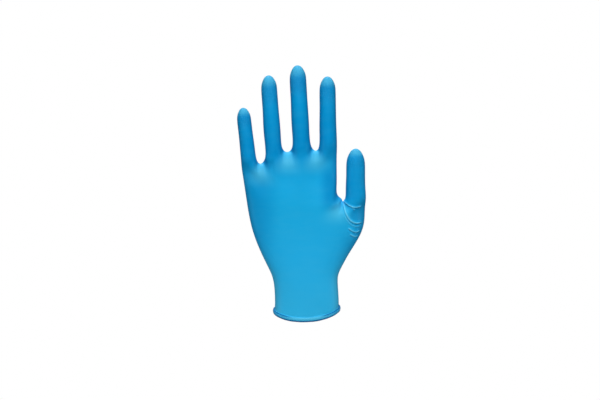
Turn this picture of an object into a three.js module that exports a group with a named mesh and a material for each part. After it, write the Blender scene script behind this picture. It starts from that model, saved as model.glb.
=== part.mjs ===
// A nitrile exam glove, filled out as it is when worn: one dipped film with five digits and a rolled bead at the cuff.
// The glove stands with its fingers up. X points to the thumb, Y to the palm side and Z to the fingertips.
// The origin is the centre of the wrist opening, level with the lowest point of the bead. Lengths are millimetres.
import * as THREE from "three";

// Film and bead
const WALL = 1.0;
const BEAD_THICKNESS = 2.8;
const BEAD_HEIGHT = 4.2;
const BEAD_DIP = 5.4; // how much lower the bead hangs at the front and back than at its two sides
const BEAD_TILT = 1.3; // how much higher than its middle the bead is on the thumb's side

// Cuff and hand, measured over the outside of the film
const WRIST_BREADTH = 60.2;
const WRIST_DEPTH = 42;
const FORK_BREADTH = 110.8; // across the palm and the root of the thumb
const FORK_BACK = 17; // from the middle plane out to the back of the hand
const FORK_PALM = 18; // from the middle plane out to the palm
const MOUND_DEPTH = 3.5; // how much further the ball of the thumb stands out
const KNUCKLE_BREADTH = 89.3; // across the roots of the four fingers
const KNUCKLE_BACK = 13;
const KNUCKLE_PALM = 10;
const KNUCKLE_EDGE = 4; // the two edges of the hand lie this far behind its middle plane at the finger roots
const KNUCKLE_SHIFT = -16.2; // the finger roots lie this far to the little finger's side of the wrist's centre

// Heights of the webs between the digits
const LITTLE_WEB_HEIGHT = 148.3;
const MIDDLE_WEB_HEIGHT = 159.5;
const INDEX_WEB_HEIGHT = 160.6;
const THUMB_WEB_HEIGHT = 112;
const WEB_SLOPE = 14; // how far below a web's edge its column meets the finger roots on the back of the hand
const WEB_HOLLOW = 1; // depth of the hollow in the back of the hand there
const WEB_CORNER = 2.6; // the sides of two fingers begin this far above the edge of the web between them
const WEB_DEPTH = 1; // from the middle plane to the back of a web's edge
const FINGER_SLOPE = 19; // how far the film slopes down from a finger web's edge to the back of the hand
const THUMB_SLOPE = 22; // the same below the thumb's web
const FORK_FALL = 0.43; // the thumb's fork lies this share of a web's slope below the web's edge
const FORK_HOLLOW = 0.3; // share of the hollow that the back has at the fork
const PALM_SLOPE = 0.5; // the palm side's slope is this share of the back's
const ROOT_FALL = 0.4; // the finger roots meet the hand this share of the slope below the webs
const EDGE_FALL = 0.25; // the same on the index finger's outer side
const WEB_BACK = 0.08; // a web's edge lies this share of the back's depth behind the middle plane

// Digits: length from the web, and breadth and depth half way along
const LITTLE_LENGTH = 53.2;
const LITTLE_BREADTH = 13.6;
const LITTLE_DEPTH = 13.8;
const RING_LENGTH = 77.7;
const RING_BREADTH = 15.4;
const RING_DEPTH = 15.6;
const MIDDLE_LENGTH = 80.9;
const MIDDLE_BREADTH = 16;
const MIDDLE_DEPTH = 16.2;
const INDEX_LENGTH = 69.8;
const INDEX_BREADTH = 15.6;
const INDEX_DEPTH = 15.8;
const THUMB_LENGTH = 50.4;
const THUMB_BREADTH = 18.2;
const THUMB_DEPTH = 17.6;
const THUMB_FORWARD = 3.5; // how far to the back of the hand the thumb's axis starts

// Places of the digits' roots
const FOOT_DEPTH = 0.58; // a finger's axis starts this share of its depth in from the back of the hand
const LITTLE_INSET = 0.53; // the little finger's axis lies this share of its breadth in from the edge of the roots
const INDEX_INSET = 0.52; // the same on the index finger's side
const RING_ACROSS = -0.318; // places of the two middle axes, from -1 at the left edge of the roots to 1 at the right
const MIDDLE_ACROSS = 0.264;
const THUMB_WEB_OUT = 0.6; // the thumb's web lies this share of its breadth from its axis

// Folds of the film at the root of the thumb
const FOLD_HEIGHT = 0.7; // how far a fold's crest stands out
const FOLD_WIDTH = 1.3; // from a crest to the crease below it

// Columns of the film, from the little finger's side over the back of the hand to the thumb's side. The palm side has
// the same ones. wrist is the angle round the wrist in degrees. fork and knuckle are places across the hand at the
// thumb's fork and at the finger roots, from -1 at its left edge to 1 at its right one. mound is the column's share
// of the ball of the thumb.
const COLUMNS = [
  { name: "little_edge", wrist: 195, fork: -0.955, knuckle: -0.924, mound: 0 },
  { name: "little", wrist: 210, fork: -0.85, knuckle: -0.83, mound: 0 },
  { name: "little_web", wrist: 225, fork: -0.7, knuckle: -0.601, mound: 0 },
  { name: "ring", wrist: 240, fork: -0.5, knuckle: -0.33, mound: 0 },
  { name: "middle_web", wrist: 255, fork: -0.29, knuckle: -0.025, mound: 0 },
  { name: "middle", wrist: 270, fork: -0.07, knuckle: 0.261, mound: 0 },
  { name: "index_web", wrist: 285, fork: 0.15, knuckle: 0.563, mound: 0.2 },
  { name: "index", wrist: 300, fork: 0.36, knuckle: 0.82, mound: 0.7 },
  { name: "thumb_web", wrist: 315, fork: 0.56, knuckle: 0.937, mound: 1 },
  { name: "thumb", wrist: 330, fork: 0.74, knuckle: 1, mound: 1 },
  { name: "thumb_edge", wrist: 345, fork: 0.92, knuckle: 1, mound: 0.5 },
];
const LEFT_SIDE = { name: "left", wrist: 180, fork: -1, knuckle: -1, mound: 0 };
const RIGHT_SIDE = { name: "right", wrist: 0, fork: 1, knuckle: 1, mound: 0 };
const PALM_COLUMNS = 9; // the first nine columns go on above the fork, and the last two turn up into the thumb

// Sections between the bead and the fork. up is a share of the fork's height. left, right and deepen are shares of
// the way from the wrist's half breadth, and its depth, to the fork's. mound is a share of the ball of the thumb.
const HAND_SECTIONS = [
  { up: 0.14, left: -0.01, right: 0.035, deepen: 0, mound: 0 },
  { up: 0.29, left: 0.02, right: 0, deepen: 0, mound: 0 },
  { up: 0.39, left: 0.11, right: 0.012, deepen: 0.1, mound: 0.1 },
  { up: 0.48, left: 0.28, right: 0.172, deepen: 0.25, mound: 0.4 },
  { up: 0.58, left: 0.48, right: 0.4, deepen: 0.45, mound: 0.8 },
  { up: 0.7, left: 0.69, right: 0.705, deepen: 0.7, mound: 1 },
  { up: 0.84, left: 0.87, right: 0.95, deepen: 0.88, mound: 0.8 },
];
const FORK_MOUND = 0.3; // share of the ball of the thumb that is left at the fork

// Sections between the fork and the finger roots. up is a share of the way up, and flare a share of the way from the
// index finger's side out to the thumb's web.
const PALM_SECTIONS = [
  { up: 0.09, flare: 0.5 },
  { up: 0.19, flare: 0.02 },
  { up: 0.42, flare: 0 },
  { up: 0.7, flare: 0 },
];

// Sections of a digit. along is a share of its straight length below the rounded tip, and the rest are shares of its
// breadth and depth half way along.
const DIGIT_SECTIONS = [
  { along: 0.09, breadth: 1.07, depth: 1.1 },
  { along: 0.38, breadth: 1.02, depth: 1.02 },
  { along: 0.7, breadth: 0.98, depth: 0.98 },
  { along: 1, breadth: 0.97, depth: 0.95 },
];
const TIP_LENGTH = 0.9; // the rounded tip is this share of the digit's breadth long
const TIP_SECTIONS = [0.5, 0.85]; // shares of the rounded tip's length

// Crest lines of the folds, on the back of the hand. across is a share of the fork's half breadth, up a share of the
// height of the thumb's web, and height a share of a fold's height.
const FOLDS = [
  { height: 0.8, across: [0.6, 0.66, 0.725, 0.79, 0.87, 0.925], up: [1, 0.975, 0.957, 0.946, 0.946, 0.954] },
  { height: 1, across: [0.61, 0.65, 0.7, 0.765, 0.87, 0.97], up: [0.985, 0.93, 0.888, 0.847, 0.824, 0.826] },
  { height: 0.8, across: [0.71, 0.776, 0.84, 0.905], up: [0.786, 0.76, 0.749, 0.76] },
  { height: 0.6, across: [0.74, 0.79, 0.835, 0.87], up: [0.733, 0.716, 0.708, 0.718] },
];

const SECTION_POWER = 2.5; // 2 makes the hand's sections ellipses, and more makes them flatter over the back
const WRIST_POWER = 2.7; // the same at the wrist
const CURL_POWER = 4; // 1 bends the digits evenly, and more bends them nearer to their tips
const SLOPE_POWER = 1.5; // 1 makes the slopes below the webs straight, and more makes them bulge
const ROOT_GROWTH = 1.07; // a digit's root is this many times as thick as its middle
const BEAD_SIDES = 8;

const radians = THREE.MathUtils.degToRad;
const mix = THREE.MathUtils.lerp;
const smooth = THREE.MathUtils.smoothstep;

// Digits from the little finger to the thumb. foot is where its axis starts. lean is its tilt to the little finger's
// side, pitch its tilt to the palm side at the foot, and curl how much further it has bent at its tip, in degrees.
const FORK_HEIGHT = THUMB_WEB_HEIGHT - FORK_FALL * WEB_SLOPE;
const knuckleX = (across) => KNUCKLE_SHIFT + (across * KNUCKLE_BREADTH) / 2;
const forkX = (across) => (across * FORK_BREADTH) / 2;
const fingerFoot = (x, depth, height) => new THREE.Vector3(x, FOOT_DEPTH * depth - KNUCKLE_BACK, height);
const FINGERS = [
  {
    foot: fingerFoot(knuckleX(-1) + LITTLE_INSET * LITTLE_BREADTH, LITTLE_DEPTH, LITTLE_WEB_HEIGHT),
    length: LITTLE_LENGTH,
    breadth: LITTLE_BREADTH,
    depth: LITTLE_DEPTH,
    lean: 6.2,
    pitch: 2,
    curl: 20,
  },
  {
    foot: fingerFoot(knuckleX(RING_ACROSS), RING_DEPTH, mix(LITTLE_WEB_HEIGHT, MIDDLE_WEB_HEIGHT, 0.5)),
    length: RING_LENGTH,
    breadth: RING_BREADTH,
    depth: RING_DEPTH,
    lean: 3.8,
    pitch: 2,
    curl: 20,
  },
  {
    foot: fingerFoot(knuckleX(MIDDLE_ACROSS), MIDDLE_DEPTH, mix(MIDDLE_WEB_HEIGHT, INDEX_WEB_HEIGHT, 0.5)),
    length: MIDDLE_LENGTH,
    breadth: MIDDLE_BREADTH,
    depth: MIDDLE_DEPTH,
    lean: 2.9,
    pitch: 2,
    curl: 22,
  },
  {
    foot: fingerFoot(knuckleX(1) - INDEX_INSET * INDEX_BREADTH, INDEX_DEPTH, INDEX_WEB_HEIGHT),
    length: INDEX_LENGTH,
    breadth: INDEX_BREADTH,
    depth: INDEX_DEPTH,
    lean: 0.6,
    pitch: 2,
    curl: 20,
  },
];
const THUMB = {
  foot: new THREE.Vector3((FORK_BREADTH - THUMB_BREADTH) / 2, -THUMB_FORWARD, THUMB_WEB_HEIGHT),
  length: THUMB_LENGTH,
  breadth: THUMB_BREADTH,
  depth: THUMB_DEPTH,
  lean: 0,
  pitch: 2,
  curl: 14,
};

// The cage: points that the film passes through, and the four-sided faces between them.
const points = [];
const faces = [];

function addPoint(x, y, z) {
  points.push(new THREE.Vector3(x, y, z));
  return points.length - 1;
}

// Joins two rings of the same length by a band of faces, the second ring above the first.
function band(lower, upper) {
  lower.forEach((corner, i) => {
    const next = (i + 1) % lower.length;
    faces.push([corner, lower[next], upper[next], upper[i]]);
  });
}

// Place on a flattened oval section. side is -1 on the back of the hand and 1 on the palm.
function ovalPlace({ left, right, back, palm, edge = 0, mound }, x, side, column) {
  const across = THREE.MathUtils.clamp((2 * x - left - right) / (right - left), -1, 1);
  const fullness = (1 - Math.abs(across) ** SECTION_POWER) ** (1 / SECTION_POWER);
  if (side < 0) return { x, y: mix(-edge, -back, fullness) };
  return { x, y: mix(-edge, palm, fullness) + MOUND_DEPTH * mound * column.mound };
}

// A ring of the hand: over the back from left to right, the right side, and back over the palm to the left side.
function handRing(columns, point, rightSide) {
  const front = columns.map((column) => point(column, -1));
  const back = columns.map((column) => point(column, 1)).reverse();
  return [...front, rightSide, ...back, point(LEFT_SIDE, 1)];
}

// The hand from the bead up to the thumb's fork, round at the wrist and flattened at the fork.
const beadInward = 1 - (2 * WALL) / BEAD_THICKNESS;
const beadJoin = (BEAD_HEIGHT / 2) * Math.sqrt(1 - Math.min(1, beadInward ** 2));
const rimHeight = (aside) => BEAD_HEIGHT / 2 + beadJoin + BEAD_DIP * aside ** 2 + BEAD_TILT * aside;

const squared = (share) => Math.sign(share) * Math.abs(share) ** (2 / WRIST_POWER);

function lowerRing({ up, left, right, deepen, mound }) {
  const section = {
    left: -mix(WRIST_BREADTH, FORK_BREADTH, left) / 2,
    right: mix(WRIST_BREADTH, FORK_BREADTH, right) / 2,
    back: mix(WRIST_DEPTH / 2, FORK_BACK, deepen),
    palm: mix(WRIST_DEPTH / 2, FORK_PALM, deepen),
    mound,
  };
  const middle = (section.left + section.right) / 2;
  const reach = (section.right - section.left) / 2;
  const flatness = smooth(up, 0.3, 1);
  const point = (column, side) => {
    const angle = radians(column.wrist);
    const depth = side < 0 ? section.back : section.palm;
    const flat = ovalPlace(section, middle + column.fork * reach, side, column);
    const aside = squared(Math.cos(angle));
    const ahead = squared(Math.sin(angle));
    const x = mix(middle + reach * aside, flat.x, flatness);
    const y = mix(side * depth * Math.abs(ahead), flat.y, flatness);
    return addPoint(x, y, up === 0 ? rimHeight(aside) : up * FORK_HEIGHT);
  };
  return handRing(COLUMNS, point, point(RIGHT_SIDE, 1));
}

let ring = lowerRing({ up: 0, left: 0, right: 0.03, deepen: 0, mound: 0 });
for (const section of HAND_SECTIONS) {
  const next = lowerRing(section);
  band(ring, next);
  ring = next;
}

// The fork: its web points sit lower than the rest of the ring, at the foot of the web's slope.
const forkSection = {
  left: forkX(-1),
  right: forkX(1),
  back: FORK_BACK,
  palm: FORK_PALM,
  mound: FORK_MOUND,
};
const FORK_DROPS = { index: 0.15, thumb_web: 0.45, thumb: 0.15 }; // shares of the web's slope
const forkZ = (column) => FORK_HEIGHT - WEB_SLOPE * (FORK_DROPS[column.name] ?? 0);

function forkPoint(column, side) {
  const place = ovalPlace(forkSection, forkX(column.fork), side, column);
  const hollow = side < 0 && column.name === "thumb_web" ? FORK_HOLLOW * WEB_HOLLOW : 0;
  return addPoint(place.x, place.y + hollow, forkZ(column));
}

const fork = handRing(COLUMNS, forkPoint, forkPoint(RIGHT_SIDE, 1));
band(ring, fork);

// The thumb's web runs from front to back between the palm's tube and the thumb's.
const thumbWebX = THUMB.foot.x - THUMB_WEB_OUT * THUMB_BREADTH;
const thumbWeb = addPoint(thumbWebX, 0, THUMB_WEB_HEIGHT);
const last = fork.length - 1;
const thumbRoot = [...fork.slice(PALM_COLUMNS - 1, last - PALM_COLUMNS + 1), thumbWeb];
const palmRoot = [...fork.slice(0, PALM_COLUMNS), thumbWeb, ...fork.slice(last - PALM_COLUMNS)];

// The palm above the fork, up to the line of the finger roots.
const WEB_HEIGHTS = {
  little_web: LITTLE_WEB_HEIGHT,
  middle_web: MIDDLE_WEB_HEIGHT,
  index_web: INDEX_WEB_HEIGHT,
};
const palmColumns = COLUMNS.slice(0, PALM_COLUMNS);

// Height of the finger roots at a column: low at the webs and higher on the fingers, and higher on the palm's side.
function knuckleZ(column, side) {
  const i = palmColumns.indexOf(column);
  const drop = WEB_SLOPE * (side < 0 ? 1 : PALM_SLOPE);
  if (column.name in WEB_HEIGHTS) return WEB_HEIGHTS[column.name] - drop;
  if (i < 2) return LITTLE_WEB_HEIGHT - ROOT_FALL * drop;
  if (i > PALM_COLUMNS - 3) return INDEX_WEB_HEIGHT - ROOT_FALL * drop;
  const beside = [palmColumns[i - 1], palmColumns[i + 1]].map((c) => WEB_HEIGHTS[c.name]);
  return (beside[0] + beside[1]) / 2 - ROOT_FALL * drop;
}

function upperRing({ up, flare }) {
  const eased = smooth(up, 0, 1);
  const section = {
    left: mix(forkX(-1), knuckleX(-1), up),
    right: mix(knuckleX(1), thumbWebX, flare),
    back: mix(FORK_BACK, KNUCKLE_BACK, eased),
    palm: mix(FORK_PALM, KNUCKLE_PALM, eased),
    edge: KNUCKLE_EDGE * eased,
    mound: FORK_MOUND * (1 - smooth(up, 0, 0.6)),
  };
  const thumbSide = knuckleX(COLUMNS[PALM_COLUMNS - 1].knuckle) - knuckleX(1) + section.right;
  const point = (column, side) => {
    const x = Math.min(thumbSide, mix(forkX(column.fork), knuckleX(column.knuckle), up));
    const place = ovalPlace(section, x, side, column);
    const below = ovalPlace({ ...section, right: forkX(1) }, x, side, column);
    const y = mix(below.y, place.y, smooth(up, -0.05, 0.8));
    const hollow = side < 0 && column.name in WEB_HEIGHTS ? WEB_HOLLOW * eased ** 4 : 0;
    return addPoint(x, y + hollow, mix(forkZ(column), knuckleZ(column, side), up));
  };
  const sideTop = INDEX_WEB_HEIGHT - EDGE_FALL * WEB_SLOPE;
  const side = addPoint(section.right, -section.edge, mix(THUMB_WEB_HEIGHT, sideTop, up));
  return handRing(palmColumns, point, side);
}

ring = palmRoot;
for (const section of [...PALM_SECTIONS, { up: 1, flare: 0 }]) {
  const next = upperRing(section);
  band(ring, next);
  ring = next;
}
const knuckles = ring;

// The three webs between the fingers, each at the middle of a line from the back of the hand to the palm.
const fingerWebs = palmColumns
  .filter((column) => column.name in WEB_HEIGHTS)
  .map((column) => addPoint(knuckleX(column.knuckle), -WEB_BACK * KNUCKLE_BACK, WEB_HEIGHTS[column.name]));

// Place and directions on a digit's axis, which curls to the palm side along its length.
function axisAt(digit, distance) {
  const steps = 24;
  const lean = radians(digit.lean);
  const centre = digit.foot.clone();
  let pitch = radians(digit.pitch);
  for (let i = 0; i < steps; i++) {
    const share = ((i + 0.5) / steps) * (distance / digit.length);
    pitch = radians(digit.pitch + digit.curl * share ** CURL_POWER);
    centre.x -= (Math.sin(lean) * Math.cos(pitch) * distance) / steps;
    centre.y += (Math.sin(pitch) * distance) / steps;
    centre.z += (Math.cos(lean) * Math.cos(pitch) * distance) / steps;
  }
  const across = new THREE.Vector3(Math.cos(lean), 0, Math.sin(lean));
  const upward = new THREE.Vector3(-Math.sin(lean) * Math.cos(pitch), Math.sin(pitch), Math.cos(lean) * Math.cos(pitch));
  return { centre, across, toPalm: upward.cross(across) };
}

// A digit's own eight-sided ring. sides gives the heights of its right and left points where webs pull them down.
function digitRing(digit, distance, breadth, depth, sides = {}) {
  return [225, 270, 315, 0, 45, 90, 135, 180].map((angle) => {
    const height = sides[angle];
    const at = height === undefined ? distance : (height - digit.foot.z) / Math.cos(radians(digit.lean));
    const { centre, across, toPalm } = axisAt(digit, at);
    const place = centre
      .clone()
      .addScaledVector(across, (breadth / 2) * Math.cos(radians(angle)))
      .addScaledVector(toPalm, (depth / 2) * Math.sin(radians(angle)));
    return addPoint(place.x, place.y, place.z);
  });
}

function addDigit(root, digit, sides = {}) {
  const tip = TIP_LENGTH * digit.breadth;
  const straight = digit.length - tip;
  const top = DIGIT_SECTIONS.at(-1);
  const rings = [
    ...DIGIT_SECTIONS.map((s) => [s.along * straight, s.breadth, s.depth]),
    ...TIP_SECTIONS.map((share) => {
      const shrink = Math.sqrt(1 - share ** 2);
      return [straight + share * tip, top.breadth * shrink, top.depth * shrink];
    }),
  ];
  let below = root;
  for (const [distance, breadth, depth] of rings) {
    const isFirst = below === root;
    const next = digitRing(digit, distance, breadth * digit.breadth, depth * digit.depth, isFirst ? sides : {});
    for (const i of next) fitOf[i] = distance > straight ? "free" : "level";
    band(below, next);
    below = next;
  }
  const end = addPoint(...axisAt(digit, digit.length).centre.toArray());
  fitOf[end] = "free";
  for (let i = 0; i < 8; i += 2) faces.push([below[i], below[i + 1], below[(i + 2) % 8], end]);
}

// Each finger takes three points of the back, three of the palm side, and the web or edge on either side of it.
const fitOf = {};
FINGERS.forEach((finger, i) => {
  const front = knuckles.slice(2 * i, 2 * i + 3);
  const right = i < 3 ? fingerWebs[i] : knuckles[PALM_COLUMNS];
  const back = knuckles.slice(2 * PALM_COLUMNS - 2 - 2 * i, 2 * PALM_COLUMNS + 1 - 2 * i);
  const left = i > 0 ? fingerWebs[i - 1] : knuckles.at(-1);
  const sides = {};
  if (i < 3) sides[0] = points[right].z + WEB_CORNER;
  if (i > 0) sides[180] = points[left].z + WEB_CORNER;
  addDigit([...front, right, ...back, left], finger, sides);
});
addDigit(thumbRoot, THUMB);

const average = (list) => list.reduce((sum, p) => sum.add(p), new THREE.Vector3()).divideScalar(list.length);

// One step of Catmull-Clark subdivision. The first points of the result are the moved points of the cage.
function subdivide(cage, quads) {
  const facePoints = quads.map((quad) => average(quad.map((i) => cage[i])));
  const edges = new Map();
  const keyOf = (a, b) => (a < b ? `${a}_${b}` : `${b}_${a}`);
  const around = cage.map(() => ({ faces: [], middles: [], rims: [] }));
  quads.forEach((quad, f) =>
    quad.forEach((a, i) => {
      const b = quad[(i + 1) % quad.length];
      if (!edges.has(keyOf(a, b))) edges.set(keyOf(a, b), { a, b, faces: [] });
      edges.get(keyOf(a, b)).faces.push(facePoints[f]);
      around[a].faces.push(facePoints[f]);
    }),
  );
  const edgePoints = [];
  for (const edge of edges.values()) {
    const middle = average([cage[edge.a], cage[edge.b]]);
    const isRim = edge.faces.length === 1;
    for (const i of [edge.a, edge.b]) around[i][isRim ? "rims" : "middles"].push(middle);
    edge.index = cage.length + edgePoints.length;
    edgePoints.push(isRim ? middle : average([middle, average(edge.faces)]));
  }
  const moved = cage.map((p, i) => {
    const { faces: faceList, middles, rims } = around[i];
    if (rims.length) return average([average(rims), p]);
    const n = middles.length;
    const pull = average(faceList).addScaledVector(average(middles), 2);
    return pull.addScaledVector(p, n - 3).divideScalar(n);
  });
  const firstFace = cage.length + edgePoints.length;
  const finer = quads.flatMap((quad, f) =>
    quad.map((corner, i) => {
      const after = edges.get(keyOf(corner, quad[(i + 1) % quad.length])).index;
      const before = edges.get(keyOf(quad.at(i - 1), corner)).index;
      return [corner, after, firstFace + f, before];
    }),
  );
  return { points: [...moved, ...edgePoints, ...facePoints], quads: finer };
}

// Outward unit normals at the corners of four-sided faces.
function normalsOf(corners, quads) {
  const normals = corners.map(() => new THREE.Vector3());
  for (const quad of quads) {
    const [a, b, c, d] = quad.map((i) => corners[i]);
    const normal = new THREE.Vector3().crossVectors(c.clone().sub(a), d.clone().sub(b));
    for (const i of quad) normals[i].add(normal);
  }
  return normals.map((normal) => normal.normalize());
}

// Moves the cage's points until the subdivided film passes through their places. The hand's points move along their
// normals, those round the digits keep their heights, and the rim and the tips move freely. The points where six
// faces meet stay as they are, so that the film rounds off there.
const FIT_ROUNDS = 12;
const MEETING_FACES = 6;
const facesAt = points.map(() => 0);
for (const i of faces.flat()) facesAt[i] += 1;
const outward = normalsOf(points, faces);
const fitted = points.map((p) => p.clone());
let film = subdivide(fitted, faces);
for (let round = 0; round < FIT_ROUNDS; round++) {
  fitted.forEach((p, i) => {
    const miss = points[i].clone().sub(film.points[i]);
    if (facesAt[i] === MEETING_FACES) return;
    if (fitOf[i] === "level") p.add(miss.setZ(0));
    else if (fitOf[i] === "free" || facesAt[i] === 2) p.add(miss);
    else p.addScaledVector(outward[i], miss.dot(outward[i]));
  });
  film = subdivide(fitted, faces);
}

// The slopes below the webs: the film fills the gaps between the digits' roots, and the rest of the back is pressed in
// to it. Depths are measured from the middle plane out to the back.
const softMin = (a, b, reach) => {
  const share = THREE.MathUtils.clamp(0.5 + (0.5 * (b - a)) / reach, 0, 1);
  return mix(b, a, share) - reach * share * (1 - share);
};
const softMax = (a, b, reach) => -softMin(-a, -b, reach);
const ROUNDING = 3.4; // how widely the slopes and the roots run into each other
const THUMB_ROUNDING = 0.7; // share of that at the thumb's web
const LIP_ROUNDING = 0.35; // share of that where the slopes run out into the rest of the back
const FOLD_AWAY = 12; // how fast a root falls away past its own edge
const LIP_FALL = 2; // how fast a slope falls away above the web's edge
const SLOPE_END = 0.75; // the finger slopes fade out from this share of their length
const THUMB_SLOPE_END = 0.7;

// How far a digit that went on straight down would stand out to the back at a place.
function rootDepth({ foot, lean, breadth, depth }, x, z) {
  const axisX = foot.x - (z - foot.z) * Math.tan(radians(lean));
  const share = Math.abs(x - axisX) / ((ROOT_GROWTH * breadth) / 2);
  if (share >= 1) return -foot.y - FOLD_AWAY * (share - 1);
  return ((ROOT_GROWTH * depth) / 2) * Math.sqrt(1 - share ** 2) - foot.y;
}

// How far a web's slope stands out to the back at some way below the web's edge.
function slopeDepth(down, reach, back) {
  const share = THREE.MathUtils.clamp(down / reach, 0, 1);
  const rise = (1 - (1 - share) ** SLOPE_POWER) ** (1 / SLOPE_POWER);
  return WEB_DEPTH + (back - WEB_DEPTH) * rise + LIP_FALL * Math.min(0, down);
}

function pressFingerSlopes(x, z, depth) {
  const webs = palmColumns.filter((column) => column.name in WEB_HEIGHTS);
  const away = webs.map((column) => Math.abs(x - knuckleX(column.knuckle)));
  const down = WEB_HEIGHTS[webs[away.indexOf(Math.min(...away))].name] - z;
  const roots = Math.max(...FINGERS.map((finger) => rootDepth(finger, x, z)));
  const allowed = softMax(roots, slopeDepth(down, FINGER_SLOPE, KNUCKLE_BACK), ROUNDING);
  const [first, final] = [FINGERS[0], FINGERS[3]];
  const left = first.foot.x - (z - first.foot.z) * Math.tan(radians(first.lean));
  const within = smooth(x, left - 1, left + 2) * (1 - smooth(x, final.foot.x - 2, final.foot.x + 1));
  const share = within * smooth(down, -6, -1) * (1 - smooth(down, SLOPE_END * FINGER_SLOPE, FINGER_SLOPE));
  return mix(depth, softMin(depth, allowed, LIP_ROUNDING * ROUNDING), share);
}

function pressThumbSlope(x, z, depth) {
  const down = THUMB_WEB_HEIGHT - z;
  const flat = ovalPlace(forkSection, x, -1, LEFT_SIDE);
  const side = THREE.MathUtils.clamp((x - 0.4 * thumbWebX) / (0.62 * thumbWebX), 0, 1);
  const palm = -flat.y * (1 - side ** 3) ** (1 / 3);
  const roots = softMax(palm, rootDepth(THUMB, x, z), THUMB_ROUNDING * ROUNDING);
  const allowed = softMax(roots, slopeDepth(down, THUMB_SLOPE, FORK_BACK), THUMB_ROUNDING * ROUNDING);
  const within = smooth(x, 8, 16) * (1 - smooth(x, THUMB.foot.x - 2, THUMB.foot.x + 3));
  const share = within * smooth(down, -2, 3) * (1 - smooth(down, THUMB_SLOPE_END * THUMB_SLOPE, THUMB_SLOPE));
  return mix(depth, softMin(depth, allowed, LIP_ROUNDING * ROUNDING), share);
}

const plainNormals = normalsOf(film.points, film.quads);
film.points.forEach((p, i) => {
  if (plainNormals[i].y > 0.1) return;
  p.y = -pressThumbSlope(p.x, p.z, pressFingerSlopes(p.x, p.z, -p.y));
});

const outside = film.points;
const normals = normalsOf(outside, film.quads);

// The open edge of the film, in order round the wrist.
const steps = new Map();
const directed = new Set(film.quads.flatMap((quad) => quad.map((a, i) => `${a}_${quad[(i + 1) % 4]}`)));
for (const quad of film.quads) {
  quad.forEach((a, i) => {
    const b = quad[(i + 1) % 4];
    if (!directed.has(`${b}_${a}`)) steps.set(a, b);
  });
}
const edge = [steps.keys().next().value];
while (edge.length < steps.size) edge.push(steps.get(edge.at(-1)));

// Crest lines of the folds as short straight steps.
const FOLD_STEPS = 20;
const crests = FOLDS.map(({ height, across, up }) => {
  const corners = across.map((share, i) => new THREE.Vector2(forkX(share), up[i] * THUMB_WEB_HEIGHT));
  return { height, line: new THREE.SplineCurve(corners).getSpacedPoints(FOLD_STEPS) };
});

// Where a place on the back of the hand lies beside a crest line: how far above it, how far away and how far along.
function besideCrest(line, place) {
  let nearest = { away: Infinity };
  for (let i = 0; i < FOLD_STEPS; i++) {
    const step = line[i + 1].clone().sub(line[i]);
    const reach = place.clone().sub(line[i]);
    const share = THREE.MathUtils.clamp(reach.dot(step) / step.lengthSq(), 0, 1);
    const away = reach.clone().addScaledVector(step, -share).length();
    const above = step.cross(reach) / step.length();
    if (away < nearest.away) nearest = { away, above, along: (i + share) / FOLD_STEPS };
  }
  return nearest;
}

const CREST_WIDTH = 0.6; // shares of a fold's width
const CREASE_DEPTH = 0.7; // share of a fold's height
const FOLD_ABOVE = 1.1; // the outer face is finer this many widths above a crest
const FOLD_BELOW = 1.9; // and this many below it
const SPLIT_ROUNDS = 3;

// How far the folds lift the film at a point: a crest with a crease below it, dying away at both ends.
function foldLift(point, normal) {
  const onBack = smooth(-normal.y, -0.2, 0.2);
  const place = new THREE.Vector2(point.x, point.z);
  return crests.reduce((sum, { height, line }) => {
    const { above, along } = besideCrest(line, place);
    const crest = Math.exp(-((above / (CREST_WIDTH * FOLD_WIDTH)) ** 2));
    const crease = Math.exp(-(((above + FOLD_WIDTH) / (CREST_WIDTH * FOLD_WIDTH)) ** 2));
    const ends = smooth(along, 0.05, 0.35) * (1 - smooth(along, 0.85, 1));
    return sum + FOLD_HEIGHT * height * onBack * ends * (crest - CREASE_DEPTH * crease);
  }, 0);
}

// The film's inner face is plain. The outer one is split beside the folds until it is fine enough to show them.
const FOLD_GRAIN = 0.85;

// Where a four-sided face runs across, and whether that is down to the thumb's side. The folds run that way too.
const fallOf = (i, j) => (outside[i].x - outside[j].x) * (outside[i].z - outside[j].z);
const innerFace = film.quads.flatMap(([a, b, c, d]) =>
  fallOf(a, c) < fallOf(b, d)
    ? [
        [a, b, c],
        [a, c, d],
      ]
    : [
        [a, b, d],
        [b, c, d],
      ],
);
const inside = outside.map((p, i) => p.clone().addScaledVector(normals[i], -WALL));
let triangles = innerFace;

const isByFold = (i) => {
  if (normals[i].y > 0.2) return false;
  const place = new THREE.Vector2(outside[i].x, outside[i].z);
  return crests.some(({ line }) => {
    const { away, above } = besideCrest(line, place);
    return away < (above > 0 ? FOLD_ABOVE : FOLD_BELOW) * FOLD_WIDTH;
  });
};

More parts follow.
